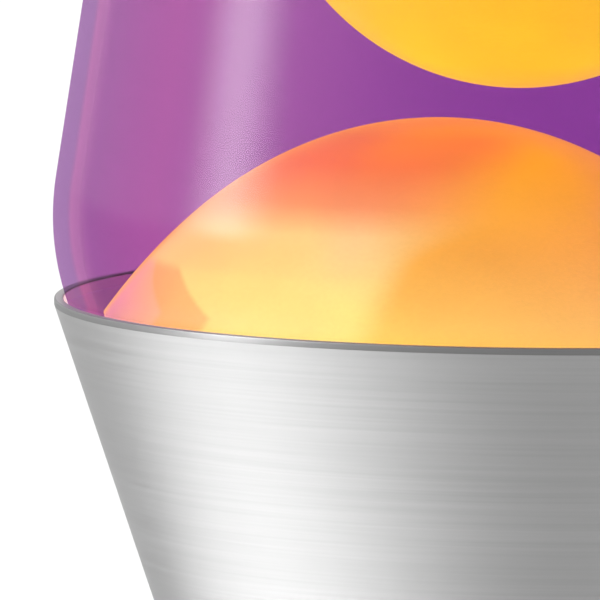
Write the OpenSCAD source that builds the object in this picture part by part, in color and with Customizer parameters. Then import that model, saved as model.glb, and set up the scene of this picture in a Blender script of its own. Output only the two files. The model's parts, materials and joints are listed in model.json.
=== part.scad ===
// Table lamp with a sealed globe of liquid and warm wax on a two-cone spun base.
// Origin on the table under the lamp's axis, +Z up, the cord inlet towards +Y.

/* [Base] */
// Height of the globe's rim above the table
rim_z = 132; // [128:1:138]
// Outer radius of the rim
rim_r = 50; // [49.9:0.05:50.3]
// Height of the plain band round the rim
rim_band_h = 0.63; // [0.4:0.01:0.9]
// Radial width of the hemmed rim
rim_w = 0.9; // [0.85:0.05:1]
// Height of the waist where the two cones meet
waist_z = 65; // [64:1:68]
// Outer radius of the base at its foot
foot_r = 57; // [56:0.5:62]
// Thickness of the spun sheet
sheet_t = 0.8; // [0.7:0.1:0.9]

/* [Globe] */
// Height of the globe's foot above the table
globe_foot_z = 99; // [98:0.5:101]
// Widest outer radius of the globe
belly_r = 50.1; // [49.9:0.05:50.2]
// Height of the widest level above the rim
belly_rise = 7.8; // [7.6:0.1:8]
// Thickness of the glass
glass_t = 2.5; // [2.5:0.1:3.8]
// Height of the top of the glass neck
neck_top_z = 345; // [343:1:347]
// Outer radius of the neck
neck_r = 12.8; // [12:0.1:13.2]
// Height of the liquid's surface
liquid_top_z = 312; // [308:1:318]

/* [Wax] */
// Height of the mound's crest above the rim
mound_rise = 17.1; // [12:0.1:17.5]
// How far the mound leans to the left of the axis
mound_lean = 13.1; // [8:0.1:14]
// Radius of the large floating body of wax
blob_r = 25; // [20:0.5:25]
// Gap between the mound's crest and the large body
blob_gap = 3; // [2.6:0.1:6]

/* [Cap] */
// Height of the whole lamp
total_h = 368; // [366:1:380]
// Height of the cap's lower edge
cap_bottom_z = 306; // [305:0.5:307]
// Outer radius of the cap at its lower edge
cap_bottom_r = 26.2; // [26:0.1:27]
// Outer radius of the cap at its top
cap_top_r = 17.6; // [17:0.1:20]

/* [Bulb] */
// Height of the bulb's tip contact
bulb_tip_z = 30; // [30:0.5:31]
// Radius of the bulb's envelope
bulb_r = 17.4; // [15:0.1:17.4]
// Overall length of the bulb
bulb_len = 58.7; // [56:0.1:58.7]

/* [Hidden] */
$fn = 96;
// clearance between pieces that can part from each other
part_gap = 0.25;
// clearance between what fills the globe and its wall
fill_gap = 0.15;

// Base
cone_fall = 3;
cone_angle = atan(1 / cone_fall);
band_z = rim_z - rim_band_h;
rim_inner_r = rim_r - rim_w;
rim_edge = 0.15;
hem_h = 1.1;
hem_step = 0.1;
cone_wall = sheet_t / cos(cone_angle);
waist_r = rim_r - (band_z - waist_z) / cone_fall;
waist_hole_r = 21;
feet_h = 2.4;
plate_t = 0.8;
plate_z = feet_h;
ledge_z = plate_z + plate_t;
foot_slope = (foot_r - waist_r) / (waist_z - ledge_z);
foot_angle = atan(foot_slope);
foot_wall = sheet_t / cos(foot_angle);
ledge_inner_r = foot_r - 6;
plate_r = foot_r - 1.6;
plate_screw_r = foot_r - 4;
plate_screw_shank = 1.2;
plate_screw_head = 2.2;
plate_screw_head_h = 1.1;
plate_screw_count = 4;
foot_pad_r = 6;
foot_pad_place = 44;
vent_count = 8;
vent_r = 1.8;
vent_in = 22;
vent_out = 34;
plate_screw_len = 3.4;
foot_pad_round = 0.6;

// Rivets, bracket and socket
rivet_place = 24;
rivet_r = 1.25;
rivet_head_r = 2.2;
rivet_head_h = 1;
rivet_count = 4;
through = 3;
bracket_t = 1;
bracket_in = 20.2;
bracket_w = 10;
tab_out = 26;
tab_t = 0.8;
socket_floor_z = bulb_tip_z - 2;
socket_bottom_z = bulb_tip_z - 8;
socket_top_z = bulb_tip_z + 17;
socket_r = 13;
socket_bore_r = 9.8;
socket_lip_h = 4;
socket_lip_in = 1.5;
socket_step = 1;
shell_gap = 0.1;
shell_t = 0.7;
shell_rise = 1;
shell_h = 15.5;
contact_r = 4.5;
contact_leaf_t = 0.7;
contact_dome_r = 2.4;
socket_screw_place = 7;
socket_screw_r = 1.3;
socket_screw_head_r = 2.5;
socket_screw_head_h = 1.5;
socket_screw_len = 4.5;
terminal_z = bulb_tip_z + 9;
terminal_r = 1.3;
terminal_head_r = 2.6;
terminal_head_h = 1.6;

// Cord inlet, square to the foot's wall
inlet_z = 16;
inlet_wall_r = foot_r - foot_slope * (inlet_z - ledge_z);
inlet_hole_r = 4.6;
inlet_bore_r = 3;
grommet_groove_r = 4.5;
grommet_flange_r = 6.4;
grommet_flange_t = 1.6;
grommet_groove_w = 1.7;
grommet_round = 0.8;
grommet_edge = 0.4;
inlet_cut = 4;

// Globe: a foot, a wall along the cone, a belly arc, a taper and a shouldered neck
foot_corner_r = 8;
punt_r = 20;
punt_h = 1.2;
punt_arc_r = 4 * punt_h;
punt_turn = 50;
belly_arc_r = 25;
taper_angle = atan(0.155);
shoulder_z = 306;
shoulder_r = 9;
shoulder_turn = 75;
bead_h = 6;
bead_out = 0.8;
bead_slope_h = 1;
belly_z = rim_z + belly_rise;
belly_c = [belly_r - belly_arc_r, belly_z];
seat_pt = belly_c + belly_arc_r * [cos(cone_angle), -sin(cone_angle)];
foot_c_z = globe_foot_z + foot_corner_r;
foot_c = [
    seat_pt[0] - (seat_pt[1] - foot_c_z) / cone_fall - foot_corner_r / cos(cone_angle),
    foot_c_z
];
taper_pt = belly_c + belly_arc_r * [cos(taper_angle), sin(taper_angle)];
shoulder_pt = [taper_pt[0] - tan(taper_angle) * (shoulder_z - taper_pt[1]), shoulder_z];
shoulder_c = shoulder_pt - shoulder_r * [cos(taper_angle), sin(taper_angle)];
shoulder_end = shoulder_c + shoulder_r * [cos(shoulder_turn), sin(shoulder_turn)];
throat_r = (shoulder_end[0] - neck_r) / (1 - cos(shoulder_turn));
throat_c = shoulder_c + (shoulder_r + throat_r) * [cos(shoulder_turn), sin(shoulder_turn)];

// Closure
liner_t = 0.6;
closure_t = 0.5;
closure_r = neck_r + bead_out + 0.3;
closure_skirt_h = 6;
closure_flare = 1.9;
closure_flare_h = 3;
closure_round = 0.5;
flute_count = 21;
flute_r = 1.1;
flute_out = 1.3;

// Cap
cap_round_r = 1.2;

// Wax
crest_z = rim_z + mound_rise;
crest_bend = 0.0148;
flank_bend = 3.1e-6;
mound_side_r = 33;
mound_skirt = [[38, 118], [41, 111], [47, 106.5], [66, 104.5]];
wax_gap = 0.1;
blob_stretch = 1.24;
blob_x = -5.3;
blob_z = crest_z + blob_gap + blob_r;
medium_r = 12;
medium_stretch = 1.15;
medium_at = [-2, 2, 268];
small_r = 5.5;
small_stretch = 1.1;
small_at = [14, -4, 243];

// Ring of coiled wire in the wax
coil_ring_r = 22;
coil_r = 3;
coil_wire_r = 0.45;
coil_turns = 30;
coil_steps = 8;
coil_z = globe_foot_z + 8.5;
coil_room_r = 3.8;

// Bulb: tip, black insulator, ringed shell, glass, and the mount inside it
bulb_tip_h = 1.4;
bulb_tip_r = 2.5;
insulator_foot_r = 3.2;
insulator_lip = 0.5;
insulator_h = 1.5;
bulb_top_z = bulb_tip_z + bulb_len;
bulb_c = [0, bulb_top_z - bulb_r];
bulb_wall = 0.7;
bulb_neck_r = 7.4;
bulb_neck_z = bulb_tip_z + 16;
bulb_shell_r = 8.4;
bulb_shell_t = 0.4;
bulb_shell_z = bulb_tip_z + 3.2;
bulb_shell_top = bulb_tip_z + 19;
bulb_skirt_h = 2;
thread_turns = 4;
thread_pitch = 2.82;
thread_deep = 0.5;
neck_turn = 50;
filament_z = bulb_tip_z + 41;
filament_half = 7;
filament_turns = 16;
filament_r = 0.9;
filament_wire_r = 0.16;
lead_r = 0.3;
lead_foot_x = 3.4;
lead_spread = 0.8;
stem_z = bulb_neck_z + 3;
stem_flare_r = 5.6;
stem_flare_h = 6;
stem_r = 2;
stem_top_z = bulb_tip_z + 30;

// Points along an arc about c, from angle a0 to a1
function arc(c, r, a0, a1, n) = [for (i = [0:n]) let (a = a0 + (a1 - a0) * i / n) c + r * [cos(a), sin(a)]];

function unit(v) = v / norm(v);

// Ring of points round p, square to the direction d
function ring(p, d, r, sides) =
    let (u = unit(cross(d, abs(d[2]) > 0.9 * norm(d) ? [1, 0, 0] : [0, 0, 1])), v = unit(cross(d, u)))
    [for (k = [0:sides - 1]) p + r * (cos(360 * k / sides) * u + sin(360 * k / sides) * v)];

// Round wire along a list of points; a closed one joins its last point to its first
module wire(pts, r, sides = 6, closed = false) {
    n = len(pts);
    dirs = [for (i = [0:n - 1])
        closed ? pts[(i + 1) % n] - pts[(i + n - 1) % n]
               : pts[min(i + 1, n - 1)] - pts[max(i - 1, 0)]];
    skin = [for (i = [0:n - 1]) each ring(pts[i], dirs[i], r, sides)];
    spans = closed ? n : n - 1;
    walls = [for (i = [0:spans - 1]) let (a = i * sides, b = ((i + 1) % n) * sides)
        for (k = [0:sides - 1]) let (m = (k + 1) % sides)
        each [[a + k, a + m, b + m], [a + k, b + m, b + k]]];
    ends = closed ? [] : [[for (k = [sides - 1:-1:0]) k], [for (k = [0:sides - 1]) (n - 1) * sides + k]];
    polyhedron(skin, concat(walls, ends));
}

// Turns a half outline into a solid of revolution
module turned(pts) rotate_extrude() polygon(pts);

module around(count, r, start = 0) {
    for (i = [0:count - 1]) rotate(start + 360 * i / count) translate([r, 0, 0]) children();
}

// Half outline of the globe, drawn in from the outer surface by d; d = 0 is the glass's outside
function globe_outline(d) = concat(
    [[0, globe_foot_z + punt_h + d]],
    arc([punt_r, globe_foot_z + d + punt_arc_r], punt_arc_r, -90 - punt_turn, -90, 3),
    arc(foot_c, foot_corner_r - d, -90, -cone_angle, 7),
    arc(belly_c, belly_arc_r - d, -cone_angle, taper_angle, 12),
    arc(shoulder_c, shoulder_r - d, taper_angle, shoulder_turn, 8),
    arc(throat_c, throat_r + d, 180 + shoulder_turn, 180, 7),
    [[neck_r - d, neck_top_z], [0, neck_top_z]]
);

module globe_fill(d) {
    intersection() {
        turned(globe_outline(d));
        cylinder(r = 2 * rim_r, h = liquid_top_z);
    }
}

// Drop of the mound's surface below its crest at a distance from its own axis
function mound_drop(r) = crest_bend * pow(r, 2) + flank_bend * pow(r, 4);

module mound_dome(grow) {
    steps = 16;
    top = [for (i = [0:steps]) let (r = mound_side_r * i / steps) [r, crest_z - mound_drop(r) + grow]];
    skirt = [for (p = mound_skirt) p + [0, grow]];
    reach = mound_skirt[len(mound_skirt) - 1][0];
    translate([-mound_lean, 0, 0])
        turned(concat([[0, globe_foot_z]], top, skirt, [[reach, globe_foot_z]]));
}

module coil_room() {
    translate([0, 0, coil_z]) rotate_extrude() translate([coil_ring_r, 0]) circle(r = coil_room_r, $fn = 48);
}

// Body of wax with a round lower half and a taller upper half
module blob(at, r, stretch, grow = 0) {
    lower = arc([0, 0], r + grow, -90, 0, 14);
    upper = [for (p = arc([0, 0], r + grow, 5, 90, 17)) [p[0], p[1] * stretch]];
    translate(at) turned(concat(lower, upper));
}

module large_blob(grow = 0) blob([blob_x, 0, blob_z], blob_r, blob_stretch, grow);
module medium_blob(grow = 0) blob(medium_at, medium_r, medium_stretch, grow);
module small_blob(grow = 0) blob(small_at, small_r, small_stretch, grow);

// Screw with its shank up from z = 0 and its cross-slotted head below
module head_down_screw(shank_r, shank_len, head_r, head_h) {
    slot_w = 0.22 * head_r;
    slot_len = 1.2 * head_r;
    cylinder(r = shank_r, h = shank_len);
    difference() {
        turned([[0, 0], [head_r, 0], [head_r, -0.5 * head_h], [0.7 * head_r, -head_h], [0, -head_h]]);
        for (a = [0, 90])
            rotate(a) translate([-slot_len / 2, -slot_w / 2, -1.5 * head_h]) cube([slot_len, slot_w, head_h]);
    }
}

module base_upper_cone() {
    inner_waist_r = waist_r - cone_wall;
    wall_inner = inner_waist_r + (rim_z - hem_h - waist_z) / cone_fall;
    color([0.78, 0.78, 0.79]) difference() {
        turned([
            [waist_hole_r, waist_z], [waist_r, waist_z], [rim_r, band_z], [rim_r, rim_z - rim_edge],
            [rim_r - rim_edge, rim_z], [rim_inner_r + rim_edge, rim_z], [rim_inner_r, rim_z - rim_edge],
            [rim_inner_r, rim_z - hem_h], [min(wall_inner, rim_inner_r), rim_z - hem_h - hem_step],
            [inner_waist_r + sheet_t / cone_fall, waist_z + sheet_t], [waist_hole_r, waist_z + sheet_t]
        ]);
        around(rivet_count, rivet_place) translate([0, 0, waist_z - sheet_t])
            cylinder(r = rivet_r, h = through);
    }
}

module base_lower_cone() {
    inner_waist_r = waist_r - foot_wall;
    color([0.76, 0.76, 0.77]) difference() {
        turned([
            [waist_hole_r, waist_z], [waist_hole_r, waist_z - sheet_t],
            [inner_waist_r + foot_slope * sheet_t, waist_z - sheet_t],
            [foot_r - foot_wall - foot_slope * sheet_t, ledge_z + sheet_t],
            [ledge_inner_r, ledge_z + sheet_t], [ledge_inner_r, ledge_z], [foot_r, ledge_z],
            [waist_r, waist_z]
        ]);
        around(rivet_count, rivet_place) translate([0, 0, waist_z - 2 * sheet_t])
            cylinder(r = rivet_r, h = through);
        around(plate_screw_count, plate_screw_r) translate([0, 0, ledge_z - plate_t])
            cylinder(r = plate_screw_shank, h = through);
        at_inlet() translate([0, 0, -inlet_cut]) cylinder(r = inlet_hole_r, h = 2 * inlet_cut);
    }
}

// Places children on the foot's wall at the cord inlet, +Z out of the wall
module at_inlet() translate([0, inlet_wall_r, inlet_z]) rotate([foot_angle - 90, 0, 0]) children();

module waist_rivets() {
    for (i = [0:rivet_count - 1]) {
        grip_z = waist_z - sheet_t - (i % 2 == 0 ? tab_t : 0);
        color([0.7, 0.7, 0.71]) rotate(360 * i / rivet_count) translate([rivet_place, 0, 0]) turned([
            [0, grip_z - rivet_head_h], [rivet_head_r * 0.8, grip_z - rivet_head_h], [rivet_head_r, grip_z],
            [rivet_r, grip_z], [rivet_r, waist_z + sheet_t], [rivet_head_r, waist_z + sheet_t],
            [rivet_head_r * 0.9, waist_z + sheet_t + rivet_head_h * 0.6],
            [rivet_head_r * 0.4, waist_z + sheet_t + rivet_head_h], [0, waist_z + sheet_t + rivet_head_h]
        ]);
    }
}

module bottom_plate() {
    color([0.2, 0.2, 0.21]) difference() {
        translate([0, 0, plate_z]) cylinder(r = plate_r, h = plate_t);
        translate([0, 0, plate_z - plate_t]) {
            around(plate_screw_count, plate_screw_r) cylinder(r = plate_screw_shank, h = through);
            around(vent_count, 0, 180 / vent_count) {
                for (r = [vent_in, vent_out]) translate([r, 0, 0]) cylinder(r = vent_r, h = through);
                translate([vent_in, -vent_r, 0]) cube([vent_out - vent_in, 2 * vent_r, through]);
            }
        }
    }
}

module plate_screws() {
    color("silver") around(plate_screw_count, plate_screw_r) translate([0, 0, plate_z])
        head_down_screw(plate_screw_shank, plate_screw_len, plate_screw_head, plate_screw_head_h);
}

module rubber_feet() {
    color([0.08, 0.08, 0.08]) around(plate_screw_count, foot_pad_place, 45)
        turned([
            [0, 0], [foot_pad_r - foot_pad_round, 0], [foot_pad_r, foot_pad_round],
            [foot_pad_r, feet_h], [0, feet_h]
        ]);
}

module cord_grommet() {
    half = grommet_groove_w / 2;
    mid = -foot_wall / 2 * cos(foot_angle);
    outer = half + grommet_flange_t;
    color([0.07, 0.07, 0.07]) at_inlet() translate([0, 0, mid]) turned([
        [inlet_bore_r, -outer], [grommet_flange_r - grommet_round, -outer],
        [grommet_flange_r, -half - grommet_edge], [grommet_flange_r, -half], [grommet_groove_r, -half],
        [grommet_groove_r, half], [grommet_flange_r, half], [grommet_flange_r, half + grommet_edge],
        [grommet_flange_r - 1.5 * grommet_round, outer], [inlet_bore_r, outer]
    ]);
}

module socket_bracket() {
    leg_h = waist_z - sheet_t - socket_bottom_z + bracket_t;
    color([0.62, 0.62, 0.64]) difference() {
        union() {
            translate([-bracket_in - bracket_t, -bracket_w / 2, socket_bottom_z - bracket_t])
                cube([2 * (bracket_in + bracket_t), bracket_w, bracket_t]);
            for (a = [0, 180]) rotate(a) {
                translate([bracket_in, -bracket_w / 2, socket_bottom_z - bracket_t])
                    cube([bracket_t, bracket_w, leg_h]);
                translate([bracket_in, -bracket_w / 2, waist_z - sheet_t - tab_t])
                    cube([tab_out - bracket_in, bracket_w, tab_t]);
            }
        }
        for (a = [0, 180]) rotate(a) {
            translate([rivet_place, 0, waist_z - sheet_t - through]) cylinder(r = rivet_r, h = 2 * through);
            translate([socket_screw_place, 0, socket_bottom_z - through])
                cylinder(r = socket_screw_r, h = 2 * through);
        }
    }
}

module socket_body() {
    lip_r = socket_r - socket_lip_in;
    lip_z = socket_top_z - socket_lip_h;
    color([0.93, 0.92, 0.88]) difference() {
        turned([
            [0, socket_bottom_z], [socket_r, socket_bottom_z], [socket_r, lip_z - socket_step],
            [lip_r, lip_z], [lip_r, socket_top_z], [socket_bore_r, socket_top_z],
            [socket_bore_r, socket_floor_z], [0, socket_floor_z]
        ]);
        around(2, socket_screw_place) translate([0, 0, socket_bottom_z - bracket_t])
            cylinder(r = socket_screw_r, h = socket_screw_len + 0.5);
        for (a = [90, 270]) rotate(a) translate([0, 0, terminal_z]) rotate([0, 90, 0])
            cylinder(r = terminal_r, h = 2 * socket_r);
    }
}

module socket_screws() {
    color("silver") around(2, socket_screw_place) translate([0, 0, socket_bottom_z - bracket_t])
        head_down_screw(socket_screw_r, socket_screw_len, socket_screw_head_r, socket_screw_head_h);
}

module socket_screw_shell() {
    outer_r = socket_bore_r - shell_gap;
    color([0.8, 0.66, 0.3]) translate([0, 0, bulb_tip_z + shell_rise]) difference() {
        cylinder(r = outer_r, h = shell_h);
        translate([0, 0, -1]) cylinder(r = outer_r - shell_t, h = shell_h + 2);
    }
}

module socket_center_contact() {
    leaf_z = socket_floor_z + contact_leaf_t;
    dome_z = bulb_tip_z - shell_gap;
    color([0.8, 0.66, 0.3]) turned([
        [0, socket_floor_z], [contact_r, socket_floor_z], [contact_r, leaf_z], [contact_dome_r, leaf_z + 0.2],
        [contact_dome_r - 0.2, dome_z], [0, dome_z]
    ]);
}

module terminal_screws() {
    head_x = socket_r + shell_gap;
    color([0.8, 0.66, 0.3]) for (a = [90, 270]) rotate(a) translate([head_x, 0, terminal_z])
        rotate([0, -90, 0])
            head_down_screw(terminal_r, head_x - socket_bore_r - shell_gap, terminal_head_r, terminal_head_h);
}

module bulb_tip_contact() {
    color([0.75, 0.75, 0.76]) turned([
        [0, bulb_tip_z], [0.64 * bulb_tip_r, bulb_tip_z + 0.15 * bulb_tip_h],
        [0.96 * bulb_tip_r, bulb_tip_z + 0.65 * bulb_tip_h], [bulb_tip_r, bulb_tip_z + bulb_tip_h],
        [0, bulb_tip_z + bulb_tip_h]
    ]);
}

// Half outline of the bulb's glass drawn in by d: a ball run into a cylindrical neck by one arc
function bulb_outline(d) =
    let (turn = -neck_turn, join = bulb_c + bulb_r * [cos(turn), sin(turn)])
    let (bend = (join[0] - bulb_neck_r) / (1 - cos(neck_turn)))
    let (bend_c = bulb_c + (bulb_r + bend) * [cos(turn), sin(turn)])
    concat(
        [[bulb_neck_r - d, bulb_neck_z]],
        arc(bend_c, bend + d, 180, 180 - neck_turn, 8),
        arc(bulb_c, bulb_r - d, turn, 90, 22)
    );

module bulb_glass() {
    outer = bulb_outline(0);
    inner = bulb_outline(bulb_wall);
    n = len(inner);
    color([0.95, 0.95, 0.95, 0.4]) turned(concat(outer, [for (i = [n - 1:-1:0]) inner[i]]));
}

module bulb_screw_base() {
    root_r = bulb_shell_r - thread_deep;
    wall_r = root_r - bulb_shell_t;
    ridge = [for (i = [0:thread_turns - 1]) let (z = bulb_shell_z + 1 + thread_pitch * i) each [
        [root_r, z], [bulb_shell_r, z + 0.3 * thread_pitch],
        [bulb_shell_r, z + 0.6 * thread_pitch], [root_r, z + 0.9 * thread_pitch]
    ]];
    color([0.78, 0.74, 0.62]) turned(concat(
        [[wall_r, bulb_shell_z], [root_r, bulb_shell_z]], ridge,
        [[bulb_shell_r, bulb_shell_top - bulb_skirt_h], [bulb_shell_r, bulb_shell_top],
         [bulb_shell_r - bulb_shell_t, bulb_shell_top], [bulb_shell_r - bulb_shell_t, bulb_neck_z],
         [wall_r, bulb_neck_z - thread_pitch / 2]]
    ));
}

module bulb_insulator() {
    top_r = bulb_shell_r - thread_deep - bulb_shell_t;
    low_z = bulb_tip_z + bulb_tip_h;
    color([0.06, 0.06, 0.07]) turned([
        [0, low_z], [insulator_foot_r, low_z], [top_r + insulator_lip, bulb_shell_z],
        [top_r, bulb_shell_z], [top_r, bulb_shell_z + insulator_h], [0, bulb_shell_z + insulator_h]
    ]);
}

module bulb_stem() {
    color([0.9, 0.95, 0.95, 0.5]) turned([
        [0, stem_z], [stem_flare_r, stem_z], [1.5 * stem_r, stem_z + stem_flare_h / 2],
        [stem_r, stem_z + stem_flare_h], [stem_r, stem_top_z - 1], [0.6 * stem_r, stem_top_z], [0, stem_top_z]
    ]);
}

module bulb_lead_wires() {
    hook_x = filament_half + lead_spread;
    color([0.7, 0.68, 0.62]) for (side = [-1, 1]) wire([
        [side * lead_foot_x, 0, stem_z + 0.6 * stem_flare_h], [side * lead_foot_x, 0, stem_top_z - 3],
        [side * (lead_foot_x + lead_spread), 0, stem_top_z + 3], [side * hook_x, 0, filament_z - 2],
        [side * hook_x, 0, filament_z + filament_r]
    ], lead_r, 8);
}

module bulb_filament() {
    steps = 8;
    n = filament_turns * steps;
    color([1, 0.85, 0.5]) wire([for (i = [0:n]) let (t = 2 * i / n - 1, a = 360 * i / steps)
        [t * (filament_half + 0.1), filament_r * cos(a), filament_z + filament_r * sin(a)]],
        filament_wire_r, 5);
}

module globe_glass() {
    outer = globe_outline(0);
    inner = globe_outline(glass_t);
    mouth_r = neck_r - glass_t;
    bead_r = neck_r + bead_out;
    bead = [[neck_r, neck_top_z - bead_h - bead_slope_h], [bead_r, neck_top_z - bead_h],
        [bead_r, neck_top_z - bead_out], [neck_r, neck_top_z]];
    color([0.72, 0.6, 0.85, 0.35]) turned(concat(
        [for (i = [0:len(outer) - 3]) outer[i]], bead, [[mouth_r, neck_top_z]],
        [for (i = [len(inner) - 3:-1:0]) inner[i]]
    ));
}

module lamp_liquid() {
    color([0.5, 0.2, 0.6, 0.5]) difference() {
        globe_fill(glass_t + fill_gap);
        mound_dome(wax_gap);
        large_blob(part_gap);
        medium_blob(part_gap);
        small_blob(part_gap);
    }
}

module wax_mound() {
    color([1, 0.66, 0.3]) difference() {
        intersection() {
            globe_fill(glass_t + fill_gap);
            mound_dome(0);
        }
        coil_room();
    }
}

module wax_blob_large() color([1, 0.72, 0.28]) large_blob();
module wax_blob_medium() color([1, 0.72, 0.28]) medium_blob();
module wax_blob_small() color([1, 0.72, 0.28]) small_blob();

module coil_spring() {
    n = coil_turns * coil_steps;
    color([0.6, 0.6, 0.6]) wire([for (i = [0:n - 1])
        let (a = 360 * i / n, b = 360 * i / coil_steps, r = coil_ring_r + coil_r * cos(b))
        [r * cos(a), r * sin(a), coil_z + coil_r * sin(b)]], coil_wire_r, 5, closed = true);
}

module closure_liner() {
    color([0.85, 0.85, 0.8]) translate([0, 0, neck_top_z]) cylinder(r = neck_r + 0.4, h = liner_t);
}

module crown_closure() {
    under_z = neck_top_z + liner_t;
    top_z = under_z + closure_t;
    skirt_z = top_z - closure_skirt_h;
    flare_z = skirt_z + closure_flare_h;
    skirt_r = closure_r + closure_flare;
    color([0.85, 0.72, 0.4]) difference() {
        turned([
            [0, under_z], [closure_r - closure_round, under_z], [closure_r, under_z - closure_round],
            [closure_r, flare_z], [skirt_r, skirt_z], [skirt_r + closure_t, skirt_z],
            [closure_r + closure_t, flare_z + closure_round],
            [closure_r + closure_t, under_z - closure_round], [closure_r - closure_round, top_z],
            [0, top_z]
        ]);
        around(flute_count, skirt_r + flute_out) translate([0, 0, skirt_z - 1])
            cylinder(r = flute_r, h = closure_flare_h + 0.6, $fn = 24);
    }
}

module top_cap() {
    slope = (cap_bottom_r - cap_top_r) / (total_h - cap_bottom_z);
    inner_bottom = cap_bottom_r - sheet_t;
    inner_top = cap_top_r - sheet_t;
    hem_r = shoulder_pt[0] + part_gap;
    color([0.78, 0.78, 0.79]) turned(concat(
        [[hem_r, cap_bottom_z], [cap_bottom_r, cap_bottom_z]],
        arc([cap_top_r - cap_round_r, total_h - cap_round_r], cap_round_r, 0, 90, 4),
        [[0, total_h], [0, total_h - sheet_t], [inner_top - cap_round_r, total_h - sheet_t],
         [inner_top, total_h - sheet_t - cap_round_r], [inner_bottom - slope * hem_h, cap_bottom_z + hem_h],
         [hem_r, cap_bottom_z + hem_h - hem_step]]
    ));
}

base_upper_cone();
base_lower_cone();
waist_rivets();
bottom_plate();
plate_screws();
rubber_feet();
cord_grommet();
socket_bracket();
socket_body();
socket_screws();
socket_screw_shell();
socket_center_contact();
terminal_screws();
bulb_tip_contact();
bulb_glass();
bulb_screw_base();
bulb_insulator();
bulb_stem();
bulb_lead_wires();
bulb_filament();
globe_glass();
lamp_liquid();
wax_mound();
wax_blob_large();
wax_blob_medium();
wax_blob_small();
coil_spring();
closure_liner();
crown_closure();
top_cap();
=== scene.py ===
"""Looks of the lava lamp: a spun metal base and cap, a tinted globe of liquid, glowing wax and a lit bulb."""

import json
import math

import bmesh
import bpy
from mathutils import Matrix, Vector

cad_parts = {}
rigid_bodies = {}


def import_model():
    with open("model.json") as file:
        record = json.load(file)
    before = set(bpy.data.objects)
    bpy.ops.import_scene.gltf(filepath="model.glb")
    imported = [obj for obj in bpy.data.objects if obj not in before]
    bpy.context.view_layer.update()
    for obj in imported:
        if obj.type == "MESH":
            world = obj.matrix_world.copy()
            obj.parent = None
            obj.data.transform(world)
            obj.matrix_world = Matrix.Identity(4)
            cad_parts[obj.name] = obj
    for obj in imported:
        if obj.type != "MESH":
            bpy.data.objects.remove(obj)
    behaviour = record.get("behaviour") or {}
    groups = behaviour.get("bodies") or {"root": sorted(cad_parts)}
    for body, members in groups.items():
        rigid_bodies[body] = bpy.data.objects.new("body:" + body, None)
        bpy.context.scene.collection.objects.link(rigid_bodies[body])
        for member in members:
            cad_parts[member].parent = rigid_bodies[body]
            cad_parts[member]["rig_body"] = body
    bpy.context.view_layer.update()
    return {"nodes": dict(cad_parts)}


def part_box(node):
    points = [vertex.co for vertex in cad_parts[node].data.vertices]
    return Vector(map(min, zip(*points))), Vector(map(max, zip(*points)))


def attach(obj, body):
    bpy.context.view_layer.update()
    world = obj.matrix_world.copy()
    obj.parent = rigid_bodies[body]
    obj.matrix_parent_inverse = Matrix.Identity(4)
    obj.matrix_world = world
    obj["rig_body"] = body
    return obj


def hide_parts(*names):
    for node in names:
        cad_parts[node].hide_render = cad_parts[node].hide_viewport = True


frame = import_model()
NODES = frame["nodes"]
MM = 0.001

# ---------------------------------------------------------------- sizes, in metres, from the frame


def low(node):
    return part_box(node)[0]


def high(node):
    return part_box(node)[1]


RIM_Z = high("base_upper_cone").z
RIM_R = high("base_upper_cone").x
WAIST_Z = low("base_upper_cone").z
FOOT_R = high("base_lower_cone").x
LEDGE_Z = low("base_lower_cone").z
GLOBE_FOOT_Z = low("globe_glass").z
BELLY_R = high("globe_glass").x
NECK_TOP_Z = high("globe_glass").z
LIQUID_TOP_Z = high("lamp_liquid").z
CREST_Z = high("wax_mound").z
CAP_BOTTOM_Z = low("top_cap").z
CAP_BOTTOM_R = high("top_cap").x
TOP_Z = high("top_cap").z

# sizes that a box doesn't give, as the part's design has them
RIM_BAND_H = 0.63 * MM
RIM_W = 0.9 * MM
RIM_EDGE = 0.15 * MM
HEM_H = 1.1 * MM
HEM_STEP = 0.1 * MM
SHEET_T = 0.8 * MM
CONE_FALL = 3
WAIST_HOLE_R = 21 * MM
LEDGE_W = 6 * MM
GLASS_T = 2.5 * MM
FILL_GAP = 0.15 * MM
FOOT_CORNER_R = 8 * MM
PUNT_R = 20 * MM
PUNT_H = 1.2 * MM
BELLY_RISE = 7.8 * MM
BELLY_ARC_R = 25 * MM
TAPER = 0.155
SHOULDER_Z = 306 * MM
SHOULDER_R = 9 * MM
SHOULDER_TURN = 75
NECK_R = 12.8 * MM
BEAD_H = 6 * MM
BEAD_OUT = 0.8 * MM
BEAD_SLOPE_H = 1 * MM
CAP_TOP_R = 17.6 * MM
CAP_ROUND_R = 1.2 * MM
PART_GAP = 0.25 * MM
INLET_R = 4.6 * MM
MOUND_LEAN = 13.1 * MM
MOUND_SIDE_R = 33 * MM
CREST_BEND = 0.0148 / MM
FLANK_BEND = 3.1e-6 / MM**3
MOUND_SKIRT = [(38 * MM, 118 * MM), (41 * MM, 111 * MM), (47 * MM, 106.5 * MM), (66 * MM, 104.5 * MM)]

WAIST_R = RIM_R - (RIM_Z - RIM_BAND_H - WAIST_Z) / CONE_FALL
CONE_ANGLE = math.degrees(math.atan(1 / CONE_FALL))
TAPER_ANGLE = math.degrees(math.atan(TAPER))

# what only these meshes have: the soft edges of the cap and the foot, how far the flat inside of the cap's
# crown stops short of its rounding, and the mound's gap to the liquid's wall
HEM_EDGE = 0.2 * MM
FOOT_EDGE = 0.5 * MM
CROWN_STEP = 0.4 * MM
MOUND_GAP = 0.05 * MM
# length of the cutter that drills the cord inlet
INLET_CUT = 20 * MM
# faces round a turned piece and round a floating body of wax
TURN_STEPS = 256
BLOB_STEPS = 160
# the mound's points from its top to the glass and from there to its foot, and how close the wall's points
# are before its top is cut off
MOUND_RINGS = 90
MOUND_SIDES = 40
MOUND_STEP = 0.8 * MM

# ---------------------------------------------------------------- outlines as (radius, height) points


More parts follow.
